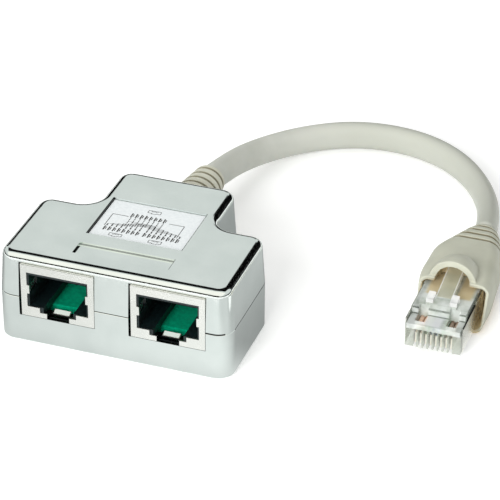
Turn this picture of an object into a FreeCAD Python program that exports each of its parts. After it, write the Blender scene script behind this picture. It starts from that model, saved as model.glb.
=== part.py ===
import FreeCAD, Part
import math
import os

# Splitter adapter for shielded network leads: a chrome-plated T-shaped housing with two
# sockets in its front, and a short lead from its back that ends in a booted plug.
# Millimetres. +Z is up and the sockets face -Y. The origin is on the surface that the
# housing stands on, below the middle of the housing.

Vector = FreeCAD.Vector

# Lengths nearer than this are taken as equal.
tiny = 0.001

# Housing
side_margin = 5.05
front_depth = 23.4
body_depth = 38.3
neck_width = 25.4
parting_height = 10.1
wall = 1.6
ceiling_clearance = 0.1
corner_radius = 3.3
root_radius = 3.8
top_edge_radius = 1.45
bottom_edge_radius = 0.5
seam_chamfer = 0.2
draft_angle = math.radians(3.8)
lip_height = 1.0
lip_clearance = 0.1

# Recesses in the top
recess_depth = 0.5
recess_width = 19.5
label_recess_depth = 14.3
label_recess_setback = 12.3
finger_recess_depth = 4.1
finger_recess_setback = 4.75
label_thickness = 0.12
label_margin = 0.1

# Posts of the bottom shell and the bosses of the top shell that press onto their pins
post_radius = 2.2
pin_radius = 1.1
pin_height = 3.0
boss_radius = 2.2
pin_clearance = 0.1
front_post_setback = 8.65
neck_post_inset = 4.1
neck_post_from_back = 5.55

# Sockets
socket_spacing = 7.5
socket_shift = 0.2
socket_bottom = 6.1
socket_depth = 16.0
port_gap = 0.28
port_gap_high = 0.06
sheet = 0.3
window_width = 12.6
window_height = 7.6
window_side_margin = 1.25
window_low_margin = 2.2
window_high_margin = 1.7
key_step_width = 7.5
key_step_depth = 1.05
key_slot_width = 4.6
tab_reach = 0.5
tab_height = 1.9
tab_length = 4.0
tongue_width = 3.5
tongue_root_width = 5.8
tongue_root_start = 1.5
tongue_root_length = 0.8
tongue_run = 0.6
tongue_rise = 0.5
tongue_leg_width = 0.5
cavity_side_step = 0.35
cavity_top_step = 0.6
cavity_depth = 12.3
key_channel_width = 6.2
rear_wall = 0.8
fit_clearance = 0.05

# Contact springs, at the standard pitch of such sockets and plugs
contact_count = 8
contact_pitch = 1.02
spring_width = 0.4
spring_thickness = 0.3
comb_slot_width = 0.56
comb_slot_height = 0.9
comb_width = 9.6
comb_front = 1.6
spring_front = 2.1
spring_tip_depth = 10.6
spring_tip_drop = 2.1
front_tail_depth = 14.0
rear_tail_depth = 15.0
tail_below_board = 0.8
tail_hole = 0.7

# Circuit board
board_lift = 0.5
board_thickness = 1.6
board_front_depth = 4.9
board_clearance = 0.3
rest_width = 3.0
pad_row_inset = 1.6
pad_pitch = 1.6

# Cable and the wires in it
cable_diameter = 5.6
cable_overrun = 1.0
bend_share = 0.45
wire_diameter = 0.92
wire_pitch = 1.25
wire_lift = 1.7
wire_reach = 6.75

# Strain relief, moulded round the cable and held in the parting line
relief_length = 16.2
relief_base_radius = 5.5
relief_end_radius = 3.4
relief_neck_radius = 4.6
relief_flange_radius = 5.8
relief_flange_depth = 1.9
relief_clearance = 0.1
relief_groove_count = 5
relief_groove_pitch = 2.5
relief_groove_width = 0.8
relief_groove_depth = 0.5
relief_first_rib = 1.0

# Plug, lying beside the housing with its latch upwards and its contacts down
plug_x = 57.5
plug_lift = 0.9
plug_width = 11.68
plug_height = 6.6
plug_length = 21.4
shield_sheet = 0.25
shield_side_height = 5.7
shield_setback = 0.9
nose_height = 5.1
nose_depth = 3.9
pocket_front = 1.4
pocket_back = 5.2
hinge_width = 4.2
blade_slot_width = 0.62
blade_slot_height = 4.0
blade_slot_depth = 5.8
blade_thickness = 0.35
blade_setback = 0.8
blade_length = 4.5
blade_bottom = 0.5
wire_axis_height = 3.25
wire_channel_front = 2.2
wire_channel_clearance = 0.06
rear_cavity_front = 7.2
rear_cavity_wall = 0.7
load_bar_length = 4.6
sheath_corner_share = 0.9
latch_thickness = 1.0
latch_front_width = 6.2
latch_rear_width = 3.3
latch_shoulder = 7.8
latch_catch_length = 2.4
latch_catch_rise = 0.7
latch_length = 12.9
latch_rise = 2.6

# Boot, moulded over the rear of the plug and the end of the cable
boot_side_gap = 0.6
boot_top_gap = 0.7
boot_side_wall = 0.6
boot_top_wall = 0.85
boot_aside = 0.5
mouth_corner = 1.2
boot_grip = 16.4
boot_grip_clearance = 0.1
boot_base = 0.1
boot_front = 9.4
boot_front_top = 13.0
boot_end = 38.8
boot_end_radius = 3.05
boot_end_flat = 0.02
boot_rib_count = 4
boot_rib_pitch = 2.2
boot_groove_width = 0.8
boot_groove_depth = 0.65
boot_last_rib = 0.9

# Form of the boot between its mouth and the cable. Each section has its share of the way, of the
# half width, of the height and of how far the mouth sits aside, then its rise and corner radius.
boot_form = [
    (0.0, 1.0, 0.99, 1.0, 0.0, 2.0),
    (0.16, 1.03, 1.0, 0.7, 0.0, 2.1),
    (0.29, 1.055, 1.0, 0.1, 0.0, 2.4),
    (0.43, 1.04, 0.99, -0.3, 0.0, 2.9),
    (0.57, 1.01, 0.975, -0.6, 0.05, 3.0),
    (0.66, 0.92, 0.95, -0.6, 0.15, 3.1),
    (0.765, 0.77, 0.92, -0.3, 0.3, 3.1),
    (0.9, 0.59, 0.87, 0.0, 0.6, 3.1),
]

# Hood of the boot, over the latch. Each section has its share of the way, of the radius, and how
# far its middle has sunk, in radii.
hood_front = 13.5
hood_length = 11.0
hood_radius = 4.8
hood_lift = 0.7
hood_wall = 0.95
channel_taper = 0.82
latch_end_clearance = 0.8
hood_form = [
    (0.0, 1.0, 0.0),
    (0.22, 0.96, 0.02),
    (0.44, 0.87, 0.1),
    (0.72, 0.68, 0.36),
    (1.0, 0.45, 0.75),
]

# Places and sizes worked out from the ones above
socket_width = window_width + 2 * window_side_margin
socket_height = window_low_margin + window_height + window_high_margin
socket_top = socket_bottom + socket_height
socket_pitch = socket_width + socket_spacing
window_bottom = socket_bottom + window_low_margin
cavity_width = window_width - 2 * cavity_side_step
cavity_height = window_height - cavity_top_step
body_width = socket_pitch + socket_width + 2 * side_margin
body_height = socket_top + ceiling_clearance + wall
front_y = -body_depth / 2
back_y = body_depth / 2
step_y = front_y + front_depth
lean = math.tan(draft_angle)
board_top = socket_bottom + board_lift
board_bottom = board_top - board_thickness
spring_top = window_bottom + cavity_height + comb_slot_height
board_back = step_y - wall - board_clearance
pad_row_y = board_back - pad_row_inset
stripped_end_y = pad_row_y + wire_reach
relief_end_y = back_y + relief_length
plug_axis_z = plug_lift + plug_height / 2
boot_half_width = plug_width / 2 + boot_side_gap + boot_side_wall
boot_height = plug_lift + plug_height + boot_top_gap + boot_top_wall

# Route of the cable from the strain relief to the boot, chosen by hand: across, back, height
cable_route = [
    (0.0, relief_end_y, parting_height),
    (0.3, relief_end_y + 5.65, 8.9),
    (0.8, relief_end_y + 15.65, 6.5),
    (3.8, relief_end_y + 26.05, 4.4),
    (9.9, relief_end_y + 34.85, 3.4),
    (18.2, relief_end_y + 40.25, 3.3),
    (27.4, relief_end_y + 42.05, 3.2),
    (37.1, relief_end_y + 40.25, 3.2),
    (45.7, relief_end_y + 34.65, 3.2),
    (52.4, relief_end_y + 25.85, 3.2),
    (56.6, relief_end_y + 15.25, 3.6),
    (plug_x, relief_end_y + 6.7, plug_axis_z),
]
boot_end_y = cable_route[-1][1]
plug_front_y = boot_end_y - boot_end


def block(x0, x1, y0, y1, z0, z1):
    """Rectangular block between two corners."""
    return Part.makeBox(x1 - x0, y1 - y0, z1 - z0, Vector(x0, y0, z0))


def rounded_wire(corners):
    """Closed wire through corners (point, radius), each of them rounded."""
    rounds = []
    count = len(corners)
    for i in range(count):
        here, radius = corners[i]
        before = (corners[i - 1][0] - here).normalize()
        after = (corners[(i + 1) % count][0] - here).normalize()
        half_angle = before.getAngle(after) / 2
        reach = radius / math.tan(half_angle)
        middle = (before + after).normalize() * (radius / math.sin(half_angle) - radius)
        rounds.append((here + before * reach, here + middle, here + after * reach))
    edges = []
    for i in range(count):
        start, middle, end = rounds[i]
        edges.append(Part.Arc(start, middle, end).toShape())
        edges.append(Part.LineSegment(end, rounds[(i + 1) % count][0]).toShape())
    return Part.Wire(edges)


def prism(points, direction):
    """Solid made by drawing a closed outline of points along a direction."""
    return Part.Face(Part.makePolygon(points + points[:1])).extrude(direction)


def side_prism(profile, half_width, x=0.0):
    """Solid of a (y, z) profile, as wide as twice half_width and centred on x."""
    points = [Vector(x - half_width, y, z) for y, z in profile]
    return prism(points, Vector(2 * half_width, 0, 0))


def tee_wire(inset, z):
    """The housing's T-shaped outline at height z, drawn in by inset."""
    side = body_width / 2 - inset
    neck = neck_width / 2 - inset
    outer = corner_radius - inset
    root = root_radius + inset
    corners = [
        (-side, front_y + inset, outer),
        (side, front_y + inset, outer),
        (side, step_y - inset, outer),
        (neck, step_y - inset, root),
        (neck, back_y - inset, outer),
        (-neck, back_y - inset, outer),
        (-neck, step_y - inset, root),
        (-side, step_y - inset, outer),
    ]
    return rounded_wire([(Vector(x, y, z), radius) for x, y, radius in corners])


def tee_block(low_inset, low_z, high_inset, high_z):
    """T-shaped solid whose walls lean from one inset to the other."""
    return Part.makeLoft([tee_wire(low_inset, low_z), tee_wire(high_inset, high_z)], True, True)


def level_edges(shape, z):
    """Edges of a shape that lie at height z."""
    edges = []
    for edge in shape.Edges:
        box = edge.BoundBox
        if max(abs(box.ZMin - z), abs(box.ZMax - z)) < tiny:
            edges.append(edge)
    return edges


def post_places():
    """Where the shells' posts and bosses stand: between the sockets and in the neck."""
    neck_x = neck_width / 2 - neck_post_inset
    neck_y = back_y - neck_post_from_back
    return [(0.0, front_y + front_post_setback), (-neck_x, neck_y), (neck_x, neck_y)]


def socket_centres():
    """Middles of the two sockets, each set a little to the right in its cut-out."""
    return [side * socket_pitch / 2 + socket_shift for side in (-1, 1)]


def port_cutters():
    """What the front wall loses for the sockets and the back wall for the strain relief."""
    cutters = []
    for centre in socket_centres():
        left = centre - socket_width / 2 - port_gap - socket_shift
        right = centre + socket_width / 2 + port_gap - socket_shift
        low = socket_bottom - port_gap_high
        high = socket_top + port_gap_high
        cutters.append(block(left, right, front_y - 1, front_y + 2 * wall, low, high))
    hole_radius = relief_neck_radius + relief_clearance
    hole_start = Vector(0, back_y - 2 * wall, parting_height)
    cutters.append(Part.makeCylinder(hole_radius, 3 * wall, hole_start, Vector(0, 1, 0)))
    return cutters


def make_bottom_shell():
    """Lower half of the housing, with a lip, three posts with pins and rests for the board."""
    shell = tee_block(0, 0, 0, parting_height)
    shell = shell.makeFillet(bottom_edge_radius, level_edges(shell, 0))
    shell = shell.makeChamfer(seam_chamfer, level_edges(shell, parting_height))
    lip_inset = wall / 2 + lip_clearance
    shell = shell.fuse(tee_block(lip_inset, wall, lip_inset, parting_height + lip_height))
    shell = shell.cut(tee_block(wall, wall, wall, parting_height + lip_height + 1))
    additions = []
    for x, y in post_places():
        additions.append(Part.makeCylinder(post_radius, parting_height - wall, Vector(x, y, wall)))
        additions.append(Part.makeCylinder(pin_radius, pin_height, Vector(x, y, parting_height)))
    rest_x = body_width / 2 - wall
    for side in (-1, 1):
        inner_x = side * (rest_x - rest_width)
        outer_x = side * rest_x
        low_x = min(inner_x, outer_x)
        high_x = max(inner_x, outer_x)
        rest_front = front_y + board_front_depth
        rest_back = step_y - wall
        additions.append(block(low_x, high_x, rest_front, rest_front + rest_width, wall, board_bottom))
        additions.append(block(low_x, high_x, rest_back - rest_width, rest_back, wall, board_bottom))
    # The rests' outer ends stay inside the rounded corners of the wall.
    inside = tee_block(wall, wall, wall, parting_height + pin_height + 1)
    shell = shell.fuse(Part.makeCompound(additions).common(inside))
    return shell.cut(port_cutters()).removeSplitter()


def make_top_shell():
    """Upper half of the housing, with leaning walls, two recesses and three hollow bosses."""
    rise = body_height - parting_height
    shell = tee_block(0, parting_height, rise * lean, body_height)
    shell = shell.makeFillet(top_edge_radius, level_edges(shell, body_height))
    ceiling = body_height - wall
    inside = tee_block(wall, parting_height, wall + (ceiling - parting_height) * lean, ceiling)
    rebate = tee_block(wall / 2, parting_height, wall / 2, parting_height + lip_height + lip_clearance)
    shell = shell.cut([inside, rebate])
    for x, y in post_places():
        boss = Part.makeCylinder(boss_radius, ceiling - parting_height, Vector(x, y, parting_height))
        bore = Part.makeCylinder(
            pin_radius + pin_clearance, pin_height + pin_clearance, Vector(x, y, parting_height)
        )
        shell = shell.fuse(boss).cut(bore)
    half = recess_width / 2
    for setback, depth in (
        (label_recess_setback, label_recess_depth),
        (finger_recess_setback, finger_recess_depth),
    ):
        near = front_y + setback
        floor = body_height - recess_depth
        shell = shell.cut(block(-half, half, near, near + depth, floor, body_height + 1))
    return shell.cut(port_cutters()).removeSplitter()


def make_label():
    """Thin paper label lying in the larger recess."""
    half = recess_width / 2 - label_margin
    near = front_y + label_recess_setback + label_margin
    far = front_y + label_recess_setback + label_recess_depth - label_margin
    low = body_height - recess_depth
    return block(-half, half, near, far, low, low + label_thickness)


def make_socket_shield(x):
    """Folded metal case of a socket: front with its keyed window, two sides, top and back."""
    half = socket_width / 2
    inner = half - sheet
    front = front_y + sheet
    rear = front_y + socket_depth
    case = block(x - half, x + half, front_y, rear, board_top, socket_top)
    hollow = block(x - inner, x + inner, front, rear - sheet, board_top, socket_top - sheet)
    shield = case.cut(hollow)
    shield = shield.fuse(block(x - half, x + half, front_y, front, socket_bottom, board_top))
    key_low = window_bottom - key_step_depth
    windows = []
    for width, low, high in (
        (window_width, window_bottom, window_bottom + window_height),
        (key_step_width, key_low, window_bottom),
        (key_slot_width, socket_bottom - 1, key_low),
    ):
        windows.append(block(x - width / 2, x + width / 2, front_y - 1, front + sheet, low, high))
    shield = shield.cut(windows)
    # A leaf spring from each side of the window presses on the shield of a plug.
    tab_low = window_bottom + (window_height - tab_height) / 2
    for side in (-1, 1):
        edge = x + side * window_width / 2
        tip = edge - side * tab_reach
        leaf = [
            Vector(edge, front_y, tab_low),
            Vector(tip, front_y, tab_low),
            Vector(tip, front, tab_low),
            Vector(edge - side * sheet, front, tab_low),
            Vector(edge, front_y + tab_length, tab_low),
            Vector(edge + side * sheet, front_y + tab_length, tab_low),
            Vector(edge + side * sheet, front_y, tab_low),
        ]
        shield = shield.fuse(prism(leaf, Vector(0, 0, tab_height)))
    # Two legs from the lower strip carry a tongue, which is bent upwards ahead of the board.
    low = board_top - sheet
    root_front = front_y + tongue_root_start
    root_back = root_front + tongue_root_length
    root_half = tongue_root_width / 2
    leg_inner = root_half - tongue_leg_width
    tip_half = tongue_width / 2
    tongue = [
        block(x - root_half, x - leg_inner, front, root_back, low, board_top),
        block(x + leg_inner, x + root_half, front, root_back, low, board_top),
        block(x - root_half, x + root_half, root_front, root_back, low, board_top),
    ]
    leaf = [
        (root_front, low),
        (root_back, low),
        (root_back + tongue_run, low + tongue_rise),
        (root_back + tongue_run - sheet, board_top + tongue_rise),
        (root_front, board_top),
    ]
    tongue.append(side_prism(leaf, tip_half, x))
    return shield.fuse(tongue).removeSplitter()


def make_socket_body(x):
    """Moulded body of a socket: roof, sides, rear wall and a floor split by the key channel."""
    half = socket_width / 2 - sheet - fit_clearance
    front = front_y + sheet
    rear = front_y + sheet + cavity_depth + rear_wall
    body = block(x - half, x + half, front, rear, board_top, socket_top - sheet)
    cavity_half = cavity_width / 2
    cavity_top = window_bottom + cavity_height
    cavity_back = front + cavity_depth
    key_half = key_channel_width / 2
    leaf_half = window_width / 2 + sheet + fit_clearance
    tab_low = window_bottom + (window_height - tab_height) / 2 - fit_clearance
    tab_high = tab_low + tab_height + 2 * fit_clearance
    leaf_back = front_y + tab_length + fit_clearance
    comb_half = comb_width / 2 + fit_clearance
    comb_start = front_y + comb_front - fit_clearance
    comb_top = socket_top - sheet + 1
    cuts = [
        block(x - cavity_half, x + cavity_half, front - 1, cavity_back, window_bottom, cavity_top),
        block(x - key_half, x + key_half, front - 1, cavity_back, board_top - 1, window_bottom),
        block(x - leaf_half, x + leaf_half, front - 1, leaf_back, tab_low, tab_high),
        block(x - comb_half, x + comb_half, comb_start, rear + 1, cavity_top, comb_top),
    ]
    return body.cut(cuts).removeSplitter()


def contact_places(x):
    """Middles of the eight contacts across a socket or plug."""
    first = -(contact_count - 1) / 2
    return [x + (first + i) * contact_pitch for i in range(contact_count)]


def make_contact_comb(x):
    """Insert in the roof of a socket that guides the eight springs in slots."""
    half = comb_width / 2
    front = front_y + comb_front
    rear = front_y + sheet + cavity_depth + rear_wall
    low = window_bottom + cavity_height
    comb = block(x - half, x + half, front, rear, low, socket_top - sheet - fit_clearance)
    half_slot = comb_slot_width / 2
    slots = []
    for c in contact_places(x):
        slots.append(block(c - half_slot, c + half_slot, front - 1, rear + 1, low - 1, spring_top))
    return comb.cut(slots)


def make_springs(x):
    """Eight bent contact springs: a sloping finger, a run in the comb and a tail into the board."""
    springs = []
    high = spring_top
    low = spring_top - spring_thickness
    front = front_y + spring_front
    tip_y = front_y + spring_tip_depth
    tip_z = window_bottom + cavity_height - spring_tip_drop
    tail_end = board_bottom - tail_below_board
    for i, c in enumerate(contact_places(x)):
        tail_y = front_y + (front_tail_depth if i % 2 else rear_tail_depth)
        profile = [
            (front, high),
            (tail_y + spring_thickness / 2, high),
            (tail_y + spring_thickness / 2, tail_end),
            (tail_y - spring_thickness / 2, tail_end),
            (tail_y - spring_thickness / 2, low),
            (front + spring_thickness, low),
            (front + spring_thickness, low - spring_thickness / 2),
            (tip_y, tip_z + spring_thickness),
            (tip_y, tip_z),
            (front, low - spring_thickness),
        ]
        springs.append(side_prism(profile, spring_width / 2, c))
    return Part.makeCompound(springs)


def make_board():
    """Circuit board with holes for the springs' tails and round the front post."""
    half = body_width / 2 - wall - board_clearance
    front = front_y + board_front_depth
    board = block(-half, half, front, board_back, board_bottom, board_top)
    # Its rear corners are cut to clear the rounded corners of the wall.
    rear = [e for e in board.Edges if board_back - e.BoundBox.YMin < tiny]
    upright = [e for e in rear if abs(e.BoundBox.ZLength - board_thickness) < tiny]
    board = board.makeChamfer(corner_radius / 2, upright)
    x, y = post_places()[0]
    hole_bottom = Vector(x, y, board_bottom - board_thickness)
    holes = [Part.makeCylinder(post_radius + board_clearance, 3 * board_thickness, hole_bottom)]
    half_hole = tail_hole / 2
    for centre in socket_centres():
        for i, c in enumerate(contact_places(centre)):
            tail_y = front_y + (front_tail_depth if i % 2 else rear_tail_depth)
            holes.append(
                block(c - half_hole, c + half_hole, tail_y - half_hole, tail_y + half_hole, 0, body_height)
            )
    return board.cut(holes)


def polyline_tube(points, radius):
    """Round wire along straight runs that meet in mitred corners."""
    spine = Part.makePolygon(points)
    start = Part.Wire(Part.makeCircle(radius, points[0], points[1] - points[0]))
    mitred = 1
    return spine.makePipeShell([start], True, False, mitred)


def pair_places():
    """The eight wires as (colour, place in the bundle, number of the pad)."""
    places = []
    for number, colour in enumerate(("blue", "orange", "green", "brown")):
        for twin in (0, 1):
            column = number - 1.5
            row = twin - 0.5
            places.append((colour, column, row, 2 * number + twin))
    return places


def make_inner_pair(colour):
    """Two wires from the stripped end of the cable to their pads on the board."""
    wires = []
    for name, column, row, number in pair_places():
        if name != colour:
            continue
        start = Vector(column * wire_pitch, stripped_end_y, parting_height + row * wire_pitch)
        pad_x = (number - (contact_count - 1) / 2) * pad_pitch
        pad = Vector(pad_x, pad_row_y, board_top)
        knee = pad + Vector(0, 0, wire_lift)
        beyond = start + (start - knee).normalize() * wire_diameter
        wires.append(polyline_tube([beyond, knee, pad], wire_diameter / 2))
    # The wires start square at the end of the sheath.
    sheath_side = block(-cable_diameter, cable_diameter, stripped_end_y, back_y, 0, body_height)
    return Part.makeCompound([wire.cut(sheath_side) for wire in wires])


def make_cable_tail():
    """The end of the cable's sheath inside the housing, up to where it is stripped."""
    length = relief_flange_y() - relief_flange_depth - stripped_end_y
    start = Vector(0, stripped_end_y, parting_height)
    return Part.makeCylinder(cable_diameter / 2, length, start, Vector(0, 1, 0))


def relief_flange_y():
    """Where the flange meets the leaning back wall."""
    return back_y - wall - relief_flange_radius * lean - relief_clearance


def make_strain_relief():
    """Tapered and ribbed sleeve, with a neck that the back wall holds and a flange inside it."""
    inner = relief_flange_y()
    outer = back_y + relief_clearance
    profile = [
        (inner - relief_flange_depth, 0),
        (inner - relief_flange_depth, relief_flange_radius),
        (inner, relief_flange_radius),
        (inner, relief_neck_radius),
        (outer, relief_neck_radius),
        (outer, relief_base_radius),
    ]
    slope = (relief_end_radius - relief_base_radius) / (relief_end_y - outer)
    for i in range(relief_groove_count - 1, -1, -1):
        start = relief_end_y - relief_first_rib - relief_groove_width - i * relief_groove_pitch
        end = start + relief_groove_width
        start_radius = relief_base_radius + slope * (start - outer)
        end_radius = relief_base_radius + slope * (end - outer)
        profile.append((start, start_radius))
        profile.append((start, start_radius - relief_groove_depth))
        profile.append((end, end_radius - relief_groove_depth))
        profile.append((end, end_radius))
    profile.append((relief_end_y, relief_end_radius))
    profile.append((relief_end_y, 0))
    points = [Vector(radius, y, parting_height) for y, radius in profile]
    face = Part.Face(Part.makePolygon(points + points[:1]))
    return face.revolve(Vector(0, 0, parting_height), Vector(0, 1, 0), 360)


def make_cable():
    """Round tube along the route: straight runs joined by arcs as large as the runs allow."""
    route = [Vector(*p) for p in cable_route]
    # Both ends run on a little, to be cut square at the strain relief and the boot.
    first = route[0] + (route[0] - route[1]).normalize() * cable_overrun
    final = route[-1] + (route[-1] - route[-2]).normalize() * cable_overrun
    points = [first] + route[1:-1] + [final]
    radii = []
    edges = []
    last = points[0]
    for i in range(1, len(points) - 1):
        here = points[i]
        before = points[i - 1] - here
        after = points[i + 1] - here
        half_turn = (math.pi - before.getAngle(after)) / 2
        shorter_run = min((route[i - 1] - here).Length, (route[i + 1] - here).Length)
        radius = bend_share * shorter_run / math.tan(half_turn)
        reach = radius * math.tan(half_turn)
        towards_back = Vector(before).normalize()
        towards_front = Vector(after).normalize()
        start = here + towards_back * reach
        end = here + towards_front * reach
        inwards = (towards_back + towards_front).normalize()
        middle = here + inwards * (radius / math.cos(half_turn) - radius)
        edges.append(Part.LineSegment(last, start).toShape())
        edges.append(Part.Arc(start, middle, end).toShape())
        last = end
        radii.append(radius)
    edges.append(Part.LineSegment(last, points[-1]).toShape())
    path = Part.Wire(edges)
    section = Part.Wire(Part.makeCircle(cable_diameter / 2, points[0], points[1] - points[0]))
    tube = path.makePipeShell([section], True, False)
    expected = math.pi * (cable_diameter / 2) ** 2 * path.Length
    runs = [round((b - a).Length, 1) for a, b in zip(route, route[1:])]
    print("cable runs", runs)
    print("cable radii", [round(r, 1) for r in radii])
    print("smallest radius in diameters", round(min(radii) / cable_diameter, 1))
    print("cable length", round(path.Length - 2 * cable_overrun, 2))
    print("volume over section times length", round(tube.Volume / expected, 5))
    half = cable_diameter
    relief_side = block(-half, half, back_y, relief_end_y, 0, body_height)
    boot_side = block(plug_x - half, plug_x + half, plug_front_y, boot_end_y, -half, body_height)
    return tube.cut([relief_side, boot_side])


def plug_block(x0, x1, y0, y1, z0, z1):
    """Block given from the plug's middle, its front face and its underside."""
    return block(
        plug_x + x0, plug_x + x1, plug_front_y + y0, plug_front_y + y1, plug_lift + z0, plug_lift + z1
    )


def make_plug_body():
    """Clear body of the plug, with its comb of contact slots, wire channel and latch lever."""
    half = plug_width / 2 - shield_sheet
    profile = [
        (0, 0),
        (plug_length, 0),
        (plug_length, plug_height),
        (nose_depth, plug_height),
        (nose_depth, nose_height),
        (0, nose_height),
    ]
    body = side_prism([(plug_front_y + y, plug_lift + z) for y, z in profile], half, plug_x)
    shield_bottom = plug_block(-half, half, blade_slot_depth + shield_sheet, plug_length, 0, shield_sheet)
    slots = []
    half_slot = blade_slot_width / 2
    for c in contact_places(0.0):
        left = c - half_slot
        right = c + half_slot
        slots.append(plug_block(left, right, -1, blade_slot_depth, -1, blade_slot_height))
    wire_half = contact_count * contact_pitch / 2
    wire_low = wire_axis_height - wire_diameter / 2 - wire_channel_clearance
    wire_high = wire_axis_height + wire_diameter / 2 + wire_channel_clearance
    channel_end = rear_cavity_front + 1
    channel = plug_block(-wire_half, wire_half, wire_channel_front, channel_end, wire_low, wire_high)
    cavity_half = half - rear_cavity_wall
    cavity = plug_block(
        -cavity_half,
        cavity_half,
        rear_cavity_front,
        plug_length + 1,
        shield_sheet + rear_cavity_wall,
        plug_height - rear_cavity_wall,
    )
    body = body.cut(slots + [shield_bottom, channel, cavity])
    # A pocket on each side of the latch's hinge opens the channel over the outer wires.
    hinge_half = hinge_width / 2
    tall = plug_height + 2 * latch_rise
    pockets = [
        plug_block(-wire_half, -hinge_half, pocket_front, pocket_back, wire_axis_height, tall),
        plug_block(hinge_half, wire_half, pocket_front, pocket_back, wire_axis_height, tall),
    ]
    return body.fuse(make_latch()).cut(pockets).removeSplitter()


def latch_side_view(rise):
    """Side view of the latch lever, with its upper surface raised by rise."""
    start = nose_depth
    end = nose_depth + latch_length
    return [
        (start, plug_height - latch_thickness),
        (start + 2 * latch_thickness, plug_height - latch_thickness / 2),
        (end, plug_height + latch_rise - latch_thickness),
        (end, plug_height + latch_rise + rise),
        (start + latch_thickness, plug_height + latch_thickness / 2 + rise),
        (start, plug_height + rise),
    ]


def make_latch():
    """Latch lever: it springs from the top behind the nose and rises towards the boot."""
    lever_view = [(plug_front_y + y, plug_lift + z) for y, z in latch_side_view(0.0)]
    catch_view = [(plug_front_y + y, plug_lift + z) for y, z in latch_side_view(latch_catch_rise)]
    front_half = latch_front_width / 2
    rear_half = latch_rear_width / 2
    tall = plug_height + 2 * latch_rise
    end = nose_depth + latch_length
    plan = plug_block(-front_half, front_half, nose_depth, latch_shoulder, 0, tall)
    plan = plan.fuse(plug_block(-rear_half, rear_half, nose_depth, end, 0, tall))
    lever = side_prism(lever_view, plug_width, plug_x).common(plan)
    # A raised catch stands on each shoulder, where the lever narrows.
    catch_front = latch_shoulder - latch_catch_length
    catches = [
        plug_block(-front_half, -rear_half, catch_front, latch_shoulder, 0, tall),
        plug_block(rear_half, front_half, catch_front, latch_shoulder, 0, tall),
    ]
    raised = side_prism(catch_view, plug_width, plug_x).common(Part.makeCompound(catches))
    return lever.fuse(raised)


def make_plug_shield():
    """Folded metal sleeve of the plug: two sides and the rear of the underside."""
    half = plug_width / 2
    sides = plug_block(-half, half, shield_setback, plug_length, 0, shield_side_height)
    inner = half - shield_sheet
    gap = plug_block(-inner, inner, shield_setback - 1, plug_length + 1, shield_sheet, plug_height)
    floor_start = blade_slot_depth + shield_sheet
    mouth = plug_block(-inner, inner, shield_setback - 1, floor_start, -1, plug_height)
    return sides.cut([gap, mouth])


def make_plug_contacts():
    """Eight gilt blades that stand in the comb slots, under the wires they join."""
    blades = []
    half = blade_thickness / 2
    high = wire_axis_height - wire_diameter / 2
    back = blade_setback + blade_length
    for c in contact_places(0.0):
        blades.append(plug_block(c - half, c + half, blade_setback, back, blade_bottom, high))
    return Part.makeCompound(blades)


def make_load_bar():
    """Bar in the rear of the plug that keeps the eight wires in a row."""
    half = plug_width / 2 - shield_sheet - rear_cavity_wall - fit_clearance
    low = shield_sheet + rear_cavity_wall
    high = plug_height - rear_cavity_wall
    bar = plug_block(-half, half, rear_cavity_front, rear_cavity_front + load_bar_length, low, high)
    wire_half = contact_count * contact_pitch / 2
    wire_low = wire_axis_height - wire_diameter / 2 - wire_channel_clearance
    wire_high = wire_axis_height + wire_diameter / 2 + wire_channel_clearance
    slot = plug_block(-wire_half, wire_half, rear_cavity_front - 1, plug_length, wire_low, wire_high)
    return bar.cut(slot)


def make_plug_pair(colour):
    """Two wires of a pair, from the cable's end in the boot to the tips of the blades."""
    order = {"orange": (0, 1), "green": (2, 5), "blue": (3, 4), "brown": (6, 7)}
    places = contact_places(0.0)
    wires = []
    front = wire_channel_front + wire_channel_clearance
    length = plug_sheath_front() - front
    for number in order[colour]:
        start = Vector(plug_x + places[number], plug_front_y + front, plug_lift + wire_axis_height)
        wires.append(Part.makeCylinder(wire_diameter / 2, length, start, Vector(0, 1, 0)))
    return Part.makeCompound(wires)


def plug_sheath_front():
    """How far behind the plug's front the sheath of the cable ends."""
    return rear_cavity_front + load_bar_length + 2 * wire_diameter


def make_plug_sheath():
    """Flattened end of the cable's sheath, gripped in the rear of the plug."""
    half_height = plug_height / 2 - shield_sheet - rear_cavity_wall - fit_clearance
    half_width = contact_count * contact_pitch / 2
    y = plug_front_y + plug_sheath_front()
    middle = plug_lift + wire_axis_height
    radius = sheath_corner_share * half_height
    corners = [
        (Vector(plug_x + sx * half_width, y, middle + sz * half_height), radius)
        for sx, sz in ((-1, -1), (1, -1), (1, 1), (-1, 1))
    ]
    return Part.Face(rounded_wire(corners)).extrude(Vector(0, plug_length - plug_sheath_front(), 0))


def boot_sections():
    """Sections of the boot: place along and across, half width, underside, top, corner."""
    sections = []
    for way, width_share, height_share, aside_share, rise, corner in boot_form:
        y = plug_front_y + boot_front + way * (boot_end - boot_front)
        x = plug_x + aside_share * boot_aside
        half_width = width_share * boot_half_width
        sections.append((y, x, half_width, boot_base + rise, height_share * boot_height, corner))
    end = boot_end_radius
    low = plug_axis_z - end
    sections.append((boot_end_y, plug_x, end, low, plug_axis_z + end, end - boot_end_flat))
    return sections


def boot_loft(inset):
    """Outer form of the boot, drawn in by inset."""
    wires = []
    for y, x, half_width, low, high, corner in boot_sections():
        half = half_width - inset
        corners = [
            (Vector(x + sx * half, y, z), corner - inset)
            for sx, z in ((-1, low + inset), (1, low + inset), (1, high - inset), (-1, high - inset))
        ]
        wires.append(rounded_wire(corners))
    return Part.makeLoft(wires, True, False)


def hood_axis_z():
    """Height of the middle of the hood's arch, a little above the top of the plug."""
    return plug_lift + plug_height + hood_lift


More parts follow.
